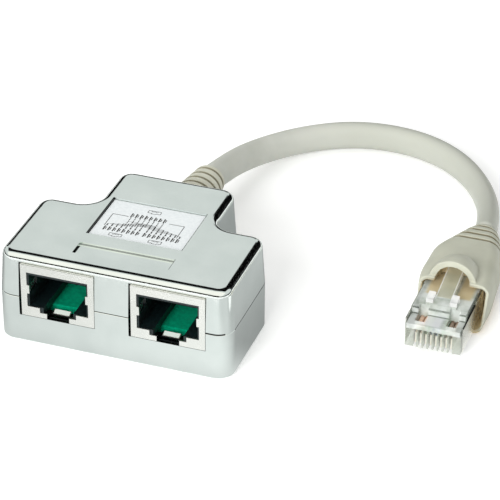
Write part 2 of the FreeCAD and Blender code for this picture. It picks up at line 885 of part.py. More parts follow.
def make_hood():
    """Rounded hood over the latch lever, sinking into the boot towards the cable."""
    sections = []
    for way, radius_share, sunk in hood_form:
        y = plug_front_y + hood_front + way * hood_length
        middle = Vector(plug_x, y, hood_axis_z() - sunk * hood_radius)
        circle = Part.makeCircle(radius_share * hood_radius, middle, Vector(0, 1, 0))
        sections.append(Part.Wire(circle))
    hood = Part.makeLoft(sections, True, False)
    return hood.cut(block(0, 2 * plug_x, 0, 2 * plug_x, -plug_height, plug_axis_z))


def make_boot():
    """Boot: a soft sleeve round the plug's rear, a hood for the latch and a ribbed end."""
    boot = boot_loft(0.0)
    slabs = []
    for i in range(boot_rib_count):
        start = boot_end - boot_last_rib - boot_groove_width - i * boot_rib_pitch
        end = start + boot_groove_width
        slabs.append(
            plug_block(-plug_width, plug_width, start, end, -plug_height, 3 * plug_height)
        )
    boot = boot.cut(Part.makeCompound(slabs).cut(boot_loft(boot_groove_depth)))
    boot = boot.fuse(make_hood())
    # The front edge leans back, so that the skirt reaches further forward below.
    floor = plug_lift
    top = plug_lift + plug_height
    wedge = [
        (boot_front - 1, floor),
        (boot_front, floor),
        (boot_front_top, top),
        (boot_front_top, 3 * top),
        (boot_front - 1, 3 * top),
    ]
    boot = boot.cut(side_prism([(plug_front_y + y, z) for y, z in wedge], plug_width, plug_x))
    # The mouth is loose round the plug and sits a little aside; the rear of the pocket grips it.
    mouth_half = plug_width / 2 + boot_side_gap
    mouth_x = plug_x + boot_aside
    mouth_y = plug_front_y + boot_front - 1
    mouth_low = plug_lift
    mouth_high = plug_lift + plug_height + boot_top_gap
    mouth_corners = [
        (Vector(mouth_x + sx * mouth_half, mouth_y, z), mouth_corner)
        for sx, z in ((-1, mouth_low), (1, mouth_low), (1, mouth_high), (-1, mouth_high))
    ]
    mouth_depth = boot_grip - boot_front + 1
    mouth = Part.Face(rounded_wire(mouth_corners)).extrude(Vector(0, mouth_depth, 0))
    grip_half = plug_width / 2 + boot_grip_clearance
    grip_top = plug_height + boot_grip_clearance
    pocket = plug_block(-grip_half, grip_half, boot_front - 1, plug_length, 0, grip_top)
    channel_end = nose_depth + latch_length + latch_end_clearance
    channel_start = Vector(plug_x, plug_front_y + boot_front, hood_axis_z())
    channel_radius = hood_radius - hood_wall
    channel_length = channel_end - boot_front
    end_radius = channel_taper * channel_radius
    channel = Part.makeCone(channel_radius, end_radius, channel_length, channel_start, Vector(0, 1, 0))
    return boot.cut([mouth, pocket, channel]).removeSplitter()


def export(name, shape):
    """Write one piece as a STEP file and print what it measures."""
    os.makedirs("parts", exist_ok=True)
    shape.exportStep("parts/" + name + ".step")
    solids = len(shape.Solids)
    print(name, "valid", shape.isValid(), "solids", solids, "volume", round(shape.Volume, 2))


def main():
    export("top_shell", make_top_shell())
    export("bottom_shell", make_bottom_shell())
    export("label", make_label())
    export("circuit_board", make_board())
    for side, x in zip(("left", "right"), socket_centres()):
        export("socket_shield_" + side, make_socket_shield(x))
        export("socket_body_" + side, make_socket_body(x))
        export("contact_comb_" + side, make_contact_comb(x))
        export("contact_springs_" + side, make_springs(x))
    for colour in ("blue", "orange", "green", "brown"):
        export("wires_" + colour, make_inner_pair(colour))
        export("plug_wires_" + colour, make_plug_pair(colour))
    export("cable_tail", make_cable_tail())
    export("strain_relief", make_strain_relief())
    export("cable", make_cable())
    export("plug_body", make_plug_body())
    export("plug_shield", make_plug_shield())
    export("plug_contacts", make_plug_contacts())
    export("plug_load_bar", make_load_bar())
    export("plug_sheath", make_plug_sheath())
    export("plug_boot", make_boot())


main()
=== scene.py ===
import math

import bmesh
import bpy
from mathutils import Matrix, Vector


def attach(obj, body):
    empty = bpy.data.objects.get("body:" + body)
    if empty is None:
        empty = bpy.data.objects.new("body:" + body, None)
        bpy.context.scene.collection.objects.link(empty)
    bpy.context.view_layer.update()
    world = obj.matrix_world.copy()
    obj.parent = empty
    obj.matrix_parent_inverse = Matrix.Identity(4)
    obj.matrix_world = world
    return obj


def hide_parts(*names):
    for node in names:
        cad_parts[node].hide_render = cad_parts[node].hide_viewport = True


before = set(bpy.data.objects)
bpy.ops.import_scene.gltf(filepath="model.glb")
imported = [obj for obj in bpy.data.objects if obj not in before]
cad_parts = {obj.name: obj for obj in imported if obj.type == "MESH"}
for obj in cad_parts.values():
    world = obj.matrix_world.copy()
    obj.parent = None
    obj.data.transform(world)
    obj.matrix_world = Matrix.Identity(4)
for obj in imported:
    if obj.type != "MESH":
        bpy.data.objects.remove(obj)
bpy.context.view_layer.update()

# Splitter adapter for shielded network leads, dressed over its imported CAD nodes.
# Metres, in the CAD frame: the housing stands on z = 0, its sockets face -Y and the
# plug of its short lead lies at +X.

MM = 0.001
X, Y, Z = 0, 1, 2


def span_of_node(name, axis):
    """Where a CAD node starts and ends along an axis, in millimetres."""
    places = [vert.co[axis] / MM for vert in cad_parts[name].data.vertices]
    return min(places), max(places)


def about(place, before, after):
    """A span from so far before a place to so far after it."""
    return place - before, place + after


# Places on the object, in millimetres.
HOUSING_RIGHT = span_of_node("top_shell", X)[1]
FRONT = span_of_node("top_shell", Y)[0]
PARTING, TOP = span_of_node("top_shell", Z)
LEFT_SOCKET = span_of_node("socket_shield_left", X)
RIGHT_SOCKET = span_of_node("socket_shield_right", X)
SOCKET_BOTTOM, SOCKET_TOP = span_of_node("socket_shield_left", Z)
BOARD_TOP = span_of_node("circuit_board", Z)[1]
LABEL_LEFT, LABEL_RIGHT = span_of_node("label", X)
LABEL_FRONT, LABEL_BACK = span_of_node("label", Y)
LABEL_TOP = span_of_node("label", Z)[1]
LABEL_MARGIN = 0.1
RECESS_LEFT, RECESS_RIGHT = LABEL_LEFT - LABEL_MARGIN, LABEL_RIGHT + LABEL_MARGIN
FINGER_RECESS_BACK = FRONT + 8.85
PLUG_LEFT, PLUG_RIGHT = span_of_node("plug_body", X)
PLUG_FRONT = span_of_node("plug_body", Y)[0]
PLUG_UNDERSIDE = span_of_node("plug_body", Z)[0]
BOOT_FRONT = span_of_node("plug_boot", Y)[0]

# Zones on the plug are measured from its middle, front and underside.
PLUG_ORIGIN = ((PLUG_LEFT + PLUG_RIGHT) / 2, PLUG_FRONT, PLUG_UNDERSIDE)

# A Mix node has several sockets of each name, so those for colours go by number.
MIX_FACTOR, MIX_COLOUR_A, MIX_COLOUR_B = 0, 6, 7
MIX_COLOUR_RESULT = 2


# Colours and nodes

def linear(hex_colour):
    """An sRGB hex colour as linear red, green, blue and alpha."""
    channels = []
    for i in (1, 3, 5):
        c = int(hex_colour[i:i + 2], 16) / 255
        channels.append(c / 12.92 if c <= 0.04045 else ((c + 0.055) / 1.055) ** 2.4)
    return (*channels, 1.0)


def per_metre(feature_mm):
    """Texture scale whose features are about so many millimetres across."""
    return 1000.0 / feature_mm


def add_node(tree, kind, values=None, links=None, **settings):
    """Add one node: its settings, the values of its sockets and what is linked to them."""
    node = tree.nodes.new(kind)
    for name, setting in settings.items():
        setattr(node, name, setting)
    for socket, value in (values or {}).items():
        node.inputs[socket].default_value = value
    for socket, source in (links or {}).items():
        tree.links.new(source, node.inputs[socket])
    return node


def new_finish(name, **sockets):
    """A material with its shader's own sockets set; gives the material, tree and shader."""
    material = bpy.data.materials.new(name)
    material.use_nodes = True
    tree = material.node_tree
    shader = tree.nodes["Principled BSDF"]
    for socket, value in sockets.items():
        shader.inputs[socket.replace("_", " ")].default_value = value
    return material, tree, shader


def grain(tree, feature_mm, detail):
    """Noise in object space with features of a real size; gives its value output."""
    place = add_node(tree, "ShaderNodeTexCoord")
    noise = add_node(
        tree,
        "ShaderNodeTexNoise",
        {"Scale": per_metre(feature_mm), "Detail": detail},
        {"Vector": place.outputs["Object"]},
    )
    return noise.outputs["Fac"]


def relief(tree, shader, height, depth_mm, strength=1.0, under=None):
    """Bump the surface by a height pattern of a real depth."""
    links = {"Height": height}
    if under is not None:
        links["Normal"] = under
    bump = add_node(
        tree, "ShaderNodeBump", {"Strength": strength, "Distance": depth_mm * MM}, links
    )
    tree.links.new(bump.outputs["Normal"], shader.inputs["Normal"])
    return bump.outputs["Normal"]


def tint(tree, shader, pattern, dark, light, low=0.35, high=0.65):
    """Let a pattern move the base colour between two hex colours."""
    ramp = add_node(tree, "ShaderNodeValToRGB", links={"Fac": pattern})
    ramp.color_ramp.elements[0].position = low
    ramp.color_ramp.elements[0].color = linear(dark)
    ramp.color_ramp.elements[1].position = high
    ramp.color_ramp.elements[1].color = linear(light)
    tree.links.new(ramp.outputs["Color"], shader.inputs["Base Color"])


def vary_roughness(tree, shader, pattern, low, high):
    """Let a pattern move the roughness between two values."""
    spread = add_node(
        tree, "ShaderNodeMapRange", {"To Min": low, "To Max": high}, {"Value": pattern}
    )
    tree.links.new(spread.outputs["Result"], shader.inputs["Roughness"])


def ramp_over(tree, axis, low_mm, high_mm, low_value=0.0, high_value=1.0):
    """A value that moves smoothly between two places along an axis of object space."""
    place = add_node(tree, "ShaderNodeTexCoord")
    parts = add_node(tree, "ShaderNodeSeparateXYZ", links={"Vector": place.outputs["Object"]})
    ramp = add_node(
        tree,
        "ShaderNodeMapRange",
        {
            "From Min": low_mm * MM,
            "From Max": high_mm * MM,
            "To Min": low_value,
            "To Max": high_value,
        },
        {"Value": parts.outputs[axis]},
        interpolation_type="SMOOTHSTEP",
    )
    return ramp.outputs["Result"]


def zone(tree, spans, blur_mm, origin=(0.0, 0.0, 0.0)):
    """1 inside a box of object space and 0 outside, from its spans in mm along X, Y and Z."""
    mask = None
    for axis, span, start in zip("XYZ", spans, origin):
        if span is None:
            continue
        low, high = span[0] + start, span[1] + start
        for edge in (
            ramp_over(tree, axis, low - blur_mm, low + blur_mm),
            ramp_over(tree, axis, high - blur_mm, high + blur_mm, 1.0, 0.0),
        ):
            mask = edge if mask is None else add_node(
                tree, "ShaderNodeMath", links={0: mask, 1: edge}, operation="MULTIPLY"
            ).outputs["Value"]
    return mask


def colour_over(tree, shader, mask, hex_colour):
    """Lay one more colour over the base colour where a mask is 1."""
    below = shader.inputs["Base Color"].links[0].from_socket
    blend = add_node(
        tree,
        "ShaderNodeMix",
        {MIX_COLOUR_B: linear(hex_colour)},
        {MIX_FACTOR: mask, MIX_COLOUR_A: below},
        data_type="RGBA",
    )
    tree.links.new(blend.outputs[MIX_COLOUR_RESULT], shader.inputs["Base Color"])


def colour_zones(tree, shader, rows, origin=(0.0, 0.0, 0.0)):
    """Lay colours over places of a piece: rows of hex colour, blur in mm and X, Y and Z spans."""
    for hex_colour, blur_mm, *spans in rows:
        colour_over(tree, shader, zone(tree, spans, blur_mm, origin), hex_colour)


# Finishes

# Painted shade: thin dark lines laid into the chrome's colour at the housing's gaps, seam and
# recess edges, where real chrome shows shade and dark reflections.
GAP_PAINTED_SHADE = "#0b0c0c"
SEAM_PAINTED_SHADE = "#5d615f"
SOCKET_HEIGHT = (SOCKET_BOTTOM - 0.1, SOCKET_TOP)
LABEL_RECESS_LENGTH = (LABEL_FRONT - 0.15, LABEL_BACK + 0.25)
RECESS_RIM = about(TOP, 0.7, 0.1)
HOUSING_PAINTED_SHADE_LINES = [
    # Painted shade along the seam of the two halves: along the front, and darker beyond the right
    # socket
    (SEAM_PAINTED_SHADE, 0.04, None, about(FRONT, 0.85, 0.75), about(PARTING, 0.12, 0.12)),
    (
        "#1c1f1e", 0.05, (RIGHT_SOCKET[1] - 0.45, HOUSING_RIGHT - 1.1),
        about(FRONT, 0.85, 1.15), about(PARTING, 0.16, 0.2),
    ),
    # Painted shade in the gaps at the left of the right socket and of the left one
    (GAP_PAINTED_SHADE, 0.04, about(RIGHT_SOCKET[0], 0.4, -0.03), about(FRONT, 0.85, 0.55), SOCKET_HEIGHT),
    (GAP_PAINTED_SHADE, 0.04, about(LEFT_SOCKET[0], 0.3, -0.03), about(FRONT, 0.85, 0.55), SOCKET_HEIGHT),
    # Painted shade along the left and right edges of the label's recess
    ("#0d0f0f", 0.06, about(RECESS_LEFT, 0.25, 0.05), LABEL_RECESS_LENGTH, RECESS_RIM),
    (SEAM_PAINTED_SHADE, 0.05, about(RECESS_RIGHT, 0.09, 0.11), LABEL_RECESS_LENGTH, RECESS_RIM),
    # Painted shade along the back and right edges of the finger recess
    (
        "#3d413f", 0.05, (RECESS_LEFT - 0.05, RECESS_RIGHT + 0.05),
        about(FINGER_RECESS_BACK, 0.25, -0.06), about(TOP, 0.7, -0.42),
    ),
    (
        "#7d8280", 0.05, about(RECESS_RIGHT, 0.09, 0.11),
        about(FINGER_RECESS_BACK, 3.7, 0.1), RECESS_RIM,
    ),
]


def chrome_plated_abs():
    """Bright chrome on moulded ABS: a mirror with the faint waviness of the plastic below, and
    painted shade lines at its gaps and edges.
    """
    material, tree, shader = new_finish("chrome_plated_abs_moulded", Metallic=1.0)
    tint(tree, shader, grain(tree, 9.0, 3.0), "#dbe2df", "#e6ece9", 0.3, 0.7)
    # Painted shade lines at the housing's gaps, seam and recess edges
    colour_zones(tree, shader, HOUSING_PAINTED_SHADE_LINES)
    vary_roughness(tree, shader, grain(tree, 0.5, 4.0), 0.07, 0.13)
    ripples = relief(tree, shader, grain(tree, 6.0, 1.0), 0.006)
    relief(tree, shader, grain(tree, 0.25, 2.0), 0.0008, 1.0, ripples)
    return material


def nickel_sheet():
    """Thin nickel-plated sheet steel, stamped: duller than chrome, with painted shade lines, and
    pale matt patches painted on its tongues as highlights.
    """
    material, tree, shader = new_finish("nickel_plated_sheet_stamped")
    tint(tree, shader, grain(tree, 5.0, 3.0), "#ecede8", "#f3f3ee")
    # Painted shade: a dark line along the fold of the plug's shield
    shade_at_plug_shield_fold = ("#1d201d", 0.05, (5.5, 6.1), (0.75, 9.75), (5.4, 5.9))
    colour_zones(tree, shader, [shade_at_plug_shield_fold], PLUG_ORIGIN)
    matt = None
    for left, right in (LEFT_SOCKET, RIGHT_SOCKET):
        x = (left + right) / 2
        legs = [about(x, 3.1, 3.1), about(FRONT, -0.35, 2.35), about(BOARD_TOP, 0.4, 0.03)]
        tongue = [about(x, 1.6, 1.6), about(FRONT, -1.65, 3.15), about(BOARD_TOP, 0.02, 0.7)]
        # Painted shade: the socket legs seen through the key slot are coloured near black
        colour_over(tree, shader, zone(tree, legs, 0.05), "#14171a")
        # Painted highlight: each tongue is made pale and matt so that it reads bright
        tongue_painted_highlight = zone(tree, tongue, 0.08)
        colour_over(tree, shader, tongue_painted_highlight, "#d3dcd5")
        matt = tongue_painted_highlight if matt is None else add_node(
            tree, "ShaderNodeMath", links={0: matt, 1: tongue_painted_highlight}, operation="ADD"
        ).outputs["Value"]
    bright = add_node(tree, "ShaderNodeMath", {0: 1.0}, {1: matt}, operation="SUBTRACT")
    tree.links.new(bright.outputs["Value"], shader.inputs["Metallic"])
    vary_roughness(tree, shader, grain(tree, 2.0, 3.0), 0.24, 0.3)
    relief(tree, shader, grain(tree, 1.5, 2.0), 0.002)
    return material


def printed_paper():
    """Coated white label paper: matt, with the slightest mottle of its fibres."""
    material, tree, shader = new_finish("label_paper_coated", Roughness=0.55, IOR=1.5)
    tint(tree, shader, grain(tree, 0.5, 4.0), "#dce1e3", "#e6eaeb")
    relief(tree, shader, grain(tree, 0.2, 3.0), 0.004)
    return material


def printing_ink():
    """Warm black ink printed on the label: flat and a little uneven."""
    material, tree, shader = new_finish("label_ink_printed", Roughness=0.6)
    tint(tree, shader, grain(tree, 0.4, 3.0), "#1e1c1b", "#454240")
    return material


def green_laminate():
    """Circuit board under green solder mask: a glossy skin over faint woven glass."""
    material, tree, shader = new_finish("glass_laminate_solder_mask", Roughness=0.3, IOR=1.5)
    shader.inputs["Coat Weight"].default_value = 0.4
    shader.inputs["Coat Roughness"].default_value = 0.15
    tint(tree, shader, grain(tree, 0.7, 3.0), "#008f6a", "#04a87d")
    # The weave is far coarser than real glass threads, so that it shows at all.
    place = add_node(tree, "ShaderNodeTexCoord")
    weave = add_node(
        tree,
        "ShaderNodeTexWave",
        {"Scale": per_metre(6.0), "Distortion": 0.6},
        {"Vector": place.outputs["Object"]},
        bands_direction="DIAGONAL",
    )
    relief(tree, shader, weave.outputs["Fac"], 0.01)
    return material


def black_moulding():
    """Glass-filled nylon of the socket bodies: near black, with a fine moulded grain."""
    material, tree, shader = new_finish("glass_filled_nylon_moulded", Roughness=0.42, IOR=1.53)
    tint(tree, shader, grain(tree, 0.6, 3.0), "#060f11", "#0f2022")
    relief(tree, shader, grain(tree, 0.15, 2.0), 0.004)
    return material


def gilt_spring():
    """Gold-flashed phosphor bronze of the contacts, pale and smooth from rolling."""
    material, tree, shader = new_finish("phosphor_bronze_gold_flashed", Metallic=1.0)
    tint(tree, shader, grain(tree, 0.8, 2.0), "#e6d5ab", "#f6ebcc")
    vary_roughness(tree, shader, grain(tree, 0.3, 2.0), 0.18, 0.3)
    return material


def soft_vinyl(name, shade, light, feature_mm, depth_mm):
    """Moulded soft PVC: even, waxy colour with a fine matt grain and a dull sheen."""
    material, tree, shader = new_finish(name, IOR=1.53)
    shader.inputs["Subsurface Weight"].default_value = 0.08
    shader.inputs["Subsurface Radius"].default_value = (0.6 * MM, 0.5 * MM, 0.35 * MM)
    tint(tree, shader, grain(tree, 7.0, 4.0), shade, light, 0.3, 0.7)
    vary_roughness(tree, shader, grain(tree, 1.2, 3.0), 0.38, 0.52)
    # The fine grain is drawn coarser than a real mould leaves it, so that it shows at all.
    fine = relief(tree, shader, grain(tree, feature_mm, 3.0), depth_mm)
    relief(tree, shader, grain(tree, 4.0, 1.0), 0.03, 0.6, fine)
    return material


def sheath_vinyl():
    """Extruded soft PVC of the cable's sheath, with painted shade making it greyer towards the
    plug.
    """
    material = soft_vinyl("pvc_sheath_extruded", "#c3c5bc", "#cecfc7", 0.5, 0.005)
    tree = material.node_tree
    # Painted shade: darker along X towards the plug
    painted_shade_towards_plug = ramp_over(tree, "X", 0.0, 27.0)
    colour_over(tree, tree.nodes["Principled BSDF"], painted_shade_towards_plug, "#b0b2a8")
    return material


def paint_shade_in_hollows(tree, shader, depth_mm, rows):
    """Paint shade into hollows: rows of hex colour, openness where it starts and is full, and
    mask.
    """
    hollows = add_node(tree, "ShaderNodeAmbientOcclusion", {"Distance": depth_mm * MM}, samples=8)
    for hex_colour, starts_at, full_at, within in rows:
        spread = add_node(
            tree,
            "ShaderNodeMapRange",
            {"From Min": full_at, "From Max": starts_at, "To Min": 1.0, "To Max": 0.0},
            {"Value": hollows.outputs["AO"]},
        )
        mask = spread.outputs["Result"]
        if within is not None:
            mask = add_node(
                tree, "ShaderNodeMath", links={0: mask, 1: within}, operation="MULTIPLY"
            ).outputs["Value"]
        colour_over(tree, shader, mask, hex_colour)


def relief_vinyl():
    """Overmoulded soft PVC of the strain relief, with painted shade darkening its grooves."""
    material = soft_vinyl("soft_pvc_overmoulded", "#c6c5b4", "#d6d5c5", 0.35, 0.006)
    tree = material.node_tree
    # Painted shade in the grooves
    paint_shade_in_hollows(tree, tree.nodes["Principled BSDF"], 1.5, [("#8f8a75", 0.7, 0.38, None)])
    return material


def boot_vinyl():
    """Moulded soft PVC of the boot, with painted shade in its hollows and painted warm bounce
    light inside its hood.
    """
    material = soft_vinyl("soft_pvc_boot_moulded", "#b2b3a3", "#c0c1b1", 0.3, 0.008)
    tree = material.node_tree
    mouth = ramp_over(tree, "Y", BOOT_FRONT + 11.35, BOOT_FRONT + 15.35, 1.0, 0.0)
    # Painted shade in the grooves and hollows, and painted warm bounce light inside the hood's
    # mouth
    paint_shade_in_hollows(tree, tree.nodes["Principled BSDF"], 3.5, [
        ("#8a836d", 0.82, 0.5, None),
        ("#cdba90", 0.6, 0.3, mouth),
    ])
    return material


def contact_blade():
    """Gold-flashed blades of the plug, a paler copy of the contacts' gilt so that they read bright
    in their slots.
    """
    material, tree, shader = new_finish("contact_blade_stamped", Metallic=1.0)
    # Painted light: a paler gold than the contacts' own
    tint(tree, shader, grain(tree, 0.8, 2.0), "#f4efdf", "#fdfaf0")
    vary_roughness(tree, shader, grain(tree, 0.3, 2.0), 0.4, 0.5)
    return material


# Painted light and shade on the clear plug, measured from PLUG_ORIGIN: what shows through it,
# reflections, highlights and dark edges.
LEVER_LENGTH, LEVER_HEIGHT = (7.35, 22.75), (7.2, 11.1)
UNDER_HOOD, HOOD_FLOOR = (9.35, 22.75), (6.1, 7.1)
CATCH_LENGTH, CATCH_HEIGHT = (5.25, 7.95), (6.9, 8.9)
SIDE_LENGTH = (-0.25, 12.75)
PLUG_PAINTED_LIGHT_AND_SHADE = [
    # Painted view of the boot through the lever, and painted highlights along the lever's two rims
    ("#bcb99f", 0.15, (-1.7, 1.7), LEVER_LENGTH, LEVER_HEIGHT),
    ("#f4f5ee", 0.05, (-1.7, -1.4), LEVER_LENGTH, LEVER_HEIGHT),
    ("#f4f5ee", 0.05, (1.4, 1.7), LEVER_LENGTH, LEVER_HEIGHT),
    # Painted reflection of the hood's warm inside, left and right of the lever
    ("#eed8a8", 0.5, (-4.3, -1.9), UNDER_HOOD, HOOD_FLOOR),
    ("#eed8a8", 0.5, (1.8, 4.8), UNDER_HOOD, HOOD_FLOOR),
    # Painted highlights on the two catches and on the lit nose
    ("#ffffff", 0.05, (-3.3, -1.6), CATCH_LENGTH, CATCH_HEIGHT),
    ("#ffffff", 0.05, (1.6, 3.3), CATCH_LENGTH, CATCH_HEIGHT),
    ("#ffffff", 0.4, (-2.9, 1.1), (0.35, 3.75), (4.7, 5.5)),
    # Painted shade along the steps behind the comb
    ("#7f887e", 0.06, None, (3.75, 4.05), (6.3, 6.8)),
    ("#8b938a", 0.06, None, (3.75, 4.05), (4.9, 5.3)),
    # Painted shade along the edges at the left, the right and the front
    ("#8d958c", 0.06, (-5.7, -5.35), SIDE_LENGTH, None),
    ("#8d958c", 0.06, (5.35, 5.7), SIDE_LENGTH, None),
    ("#a3a99b", 0.15, None, (-0.25, 0.35), (-0.4, 4.0)),
]


def clear_polycarbonate():
    """Clear injection-moulded polycarbonate: glassy, with tone that varies at random and painted
    light and shade over its places.
    """
    material, tree, shader = new_finish(
        "polycarbonate_clear_moulded", Roughness=0.06, IOR=1.58, Alpha=0.5
    )
    shader.inputs["Coat Weight"].default_value = 0.6
    shader.inputs["Coat Roughness"].default_value = 0.03
    tint(tree, shader, grain(tree, 2.6, 3.0), "#c2cabe", "#f7fcf8", 0.36, 0.62)
    # Painted light and shade: see-through views, reflections, highlights and dark edges
    colour_zones(tree, shader, PLUG_PAINTED_LIGHT_AND_SHADE, PLUG_ORIGIN)
    relief(tree, shader, grain(tree, 1.8, 1.0), 0.02)
    return material


def wire_insulation(name, shade, light):
    """Extruded polyethylene round a wire: waxy, plain colour with a soft gloss."""
    material, tree, shader = new_finish(name, Roughness=0.38, IOR=1.51)
    tint(tree, shader, grain(tree, 2.0, 2.0), shade, light)
    relief(tree, shader, grain(tree, 0.5, 2.0), 0.006)
    return material


FINISHES = {
    "chrome": chrome_plated_abs(),
    "nickel": nickel_sheet(),
    "paper": printed_paper(),
    "ink": printing_ink(),
    "board": green_laminate(),
    "moulding": black_moulding(),
    "gilt": gilt_spring(),
    "relief": relief_vinyl(),
    "boot": boot_vinyl(),
    "blade": contact_blade(),
    "sheath": sheath_vinyl(),
    "clear": clear_polycarbonate(),
    "blue": wire_insulation("polyethylene_blue_extruded", "#2351a6", "#3566c0"),
    "orange": wire_insulation("polyethylene_orange_extruded", "#d9772c", "#ec8f45"),
    "green": wire_insulation("polyethylene_green_extruded", "#2b8a4b", "#3da263"),
    "brown": wire_insulation("polyethylene_brown_extruded", "#6d4129", "#845338"),
    "pale_orange": wire_insulation("polyethylene_pale_orange_extruded", "#dfb495", "#eccfb8"),
    "pale_brown": wire_insulation("polyethylene_pale_brown_extruded", "#97806e", "#b19e8f"),
}

NODE_FINISHES = {
    "top_shell": "chrome",
    "bottom_shell": "chrome",
    "label": "paper",
    "circuit_board": "board",
    "socket_body_left": "moulding",
    "socket_body_right": "moulding",
    "contact_comb_left": "moulding",
    "contact_comb_right": "moulding",
    "contact_springs_left": "gilt",
    "contact_springs_right": "gilt",
    "wires_blue": "blue",
    "wires_orange": "orange",
    "wires_green": "green",
    "wires_brown": "brown",
    "cable_tail": "sheath",
    "strain_relief": "relief",
    "plug_contacts": "blade",
    "plug_load_bar": "clear",
    "plug_sheath": "sheath",
    "plug_wires_blue": "blue",
    "plug_wires_orange": "pale_orange",
    "plug_wires_green": "green",
    "plug_wires_brown": "pale_brown",
}


def finish_cad_nodes():
    """Give every kept CAD node the finish of the real piece."""
    for name, finish in NODE_FINISHES.items():
        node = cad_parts[name]
        node.data.materials.clear()
        node.data.materials.append(FINISHES[finish])


def new_object(name, bm, material):
    """An object of the scene from finished mesh work, with one material."""
    mesh = bpy.data.meshes.new(name)
    bm.to_mesh(mesh)
    bm.free()
    mesh.materials.append(material)
    made = bpy.data.objects.new(name, mesh)
    bpy.context.scene.collection.objects.link(made)
    return made


def made_piece(name, bm, finish, smooth=True):
    """Turn finished mesh work into a piece that rides with the object."""
    for face in bm.faces:
        face.smooth = smooth
    piece = new_object(name, bm, FINISHES[finish])
    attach(piece, "root")
    return piece


JOIN_WITHIN = 0.002 * MM
FLAT_WITHIN = math.radians(1.0)
SHARP_FROM = math.radians(40)


def copy_of_node(name):
    """The mesh of a CAD node as joined faces, without the seams between its triangles."""
    bm = bmesh.new()
    bm.from_mesh(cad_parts[name].data)
    bmesh.ops.remove_doubles(bm, verts=bm.verts, dist=JOIN_WITHIN)
    return bm


def make_eased_piece(name, node, finish, width_mm):
    """A piece like its CAD node, with the fine rounding that tooling leaves on its edges."""
    bm = copy_of_node(node)
    bmesh.ops.dissolve_limit(bm, angle_limit=FLAT_WITHIN, verts=bm.verts, edges=bm.edges)
    shared = [edge for edge in bm.edges if len(edge.link_faces) == 2]
    sharp = [edge for edge in shared if edge.calc_face_angle() > SHARP_FROM]
    bmesh.ops.bevel(
        bm, geom=sharp, offset=width_mm * MM, offset_type="OFFSET", segments=2,
        affect="EDGES", profile=0.5, material=-1, clamp_overlap=True,
    )
    piece = made_piece(name, bm, finish, smooth=False)
    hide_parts(node)
    return piece


def make_boot():
    """The plug's boot: soft moulded edges all over, as flexible PVC comes off its tool."""
    piece = made_piece("plug_boot_soft", copy_of_node("plug_boot"), "boot")
    remesh = piece.modifiers.new("moulded_skin", "REMESH")
    remesh.mode = "VOXEL"
    remesh.voxel_size = 0.15 * MM
    remesh.use_smooth_shade = True
    ease = piece.modifiers.new("eased_edges", "SMOOTH")
    ease.factor = 0.5
    ease.iterations = 1
    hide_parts("plug_boot")
    return piece


# Camera

def place_camera():
    """The photograph's camera: three quarters from the front right, looking down."""
    azimuth = math.radians(19.07)
    elevation = math.radians(31.71)
    roll = math.radians(0.37)
    target = Vector((20.71, 1.65, 16.83)) * MM
    distance = 489.31 * MM
    back = Vector((
        math.sin(azimuth) * math.cos(elevation),
        -math.cos(azimuth) * math.cos(elevation),
        math.sin(elevation),
    ))
    right = Vector((0, 0, 1)).cross(back).normalized()
    up = back.cross(right)
    tilted_right = right * math.cos(roll) + up * math.sin(roll)
    tilted_up = up * math.cos(roll) - right * math.sin(roll)
    photo_width_px = 500.0
    focal_length_px = 2529.17
    data = bpy.data.cameras.new("photo_camera")
    data.sensor_width = 36.0
    data.lens = focal_length_px * data.sensor_width / photo_width_px
    data.clip_start = 0.05
    data.clip_end = 20.0
    camera = bpy.data.objects.new("photo_camera", data)
    bpy.context.scene.collection.objects.link(camera)
    turn = Matrix((tilted_right, tilted_up, back)).transposed().to_4x4()
    camera.matrix_world = Matrix.Translation(target + back * distance) @ turn
    bpy.context.scene.camera = camera


# Cable

CABLE_ROUTE = [
    (0.0, 0.03535, 0.0101), (0.0003, 0.041, 0.0089), (0.0008, 0.051, 0.0065),
    (0.0038, 0.0614, 0.0044), (0.0099, 0.0702, 0.0034), (0.0182, 0.0756, 0.0033),
    (0.0274, 0.0774, 0.0032), (0.0371, 0.0756, 0.0032), (0.0457, 0.07, 0.0032),
    (0.0524, 0.0612, 0.0032), (0.0566, 0.0506, 0.0036), (0.0575, 0.04205, 0.0042),
]
CABLE_HALF_WIDTH = 2.3 * MM
CABLE_HALF_HEIGHT = 3.1 * MM


def cable_line():
    """Points read from the smooth line through the route."""
    curve = bpy.data.curves.new("cable_line", "CURVE")
    curve.dimensions = "3D"
    curve.resolution_u = 12
    spline = curve.splines.new("NURBS")
    spline.points.add(len(CABLE_ROUTE) - 1)
    for point, place in zip(spline.points, CABLE_ROUTE):
        point.co = (*place, 1.0)
    spline.order_u = 3
    spline.use_endpoint_u = True
    carrier = bpy.data.objects.new("cable_line", curve)
    bpy.context.scene.collection.objects.link(carrier)
    bpy.context.view_layer.update()
    graph = bpy.context.evaluated_depsgraph_get()
    line = bpy.data.meshes.new_from_object(carrier.evaluated_get(graph))
    points = [v.co.copy() for v in line.vertices]
    bpy.data.objects.remove(carrier)
    bpy.data.curves.remove(curve)
    bpy.data.meshes.remove(line)
    return points


def ring_place(points, i):
    """Where ring i of the cable sits: turned square to the line and flattened by the bend."""
    ahead = points[min(i + 1, len(points) - 1)] - points[max(i - 1, 0)]
    along = ahead.normalized()
    side = along.cross(Vector((0, 0, 1))).normalized()
    up = side.cross(along)
    turn = Matrix((side * CABLE_HALF_WIDTH, up * CABLE_HALF_HEIGHT, -along)).transposed().to_4x4()
    return Matrix.Translation(points[i]) @ turn


def settle_order(bm):
    """Put edges and faces in the order of their corners, since extruding leaves them in any."""
    bm.verts.index_update()
    count = len(bm.verts)

    def place(part):
        corners = [vert.index for vert in part.verts]
        return min(corners) * count + max(corners)

    bm.edges.sort(key=place)
    bm.faces.sort(key=place)


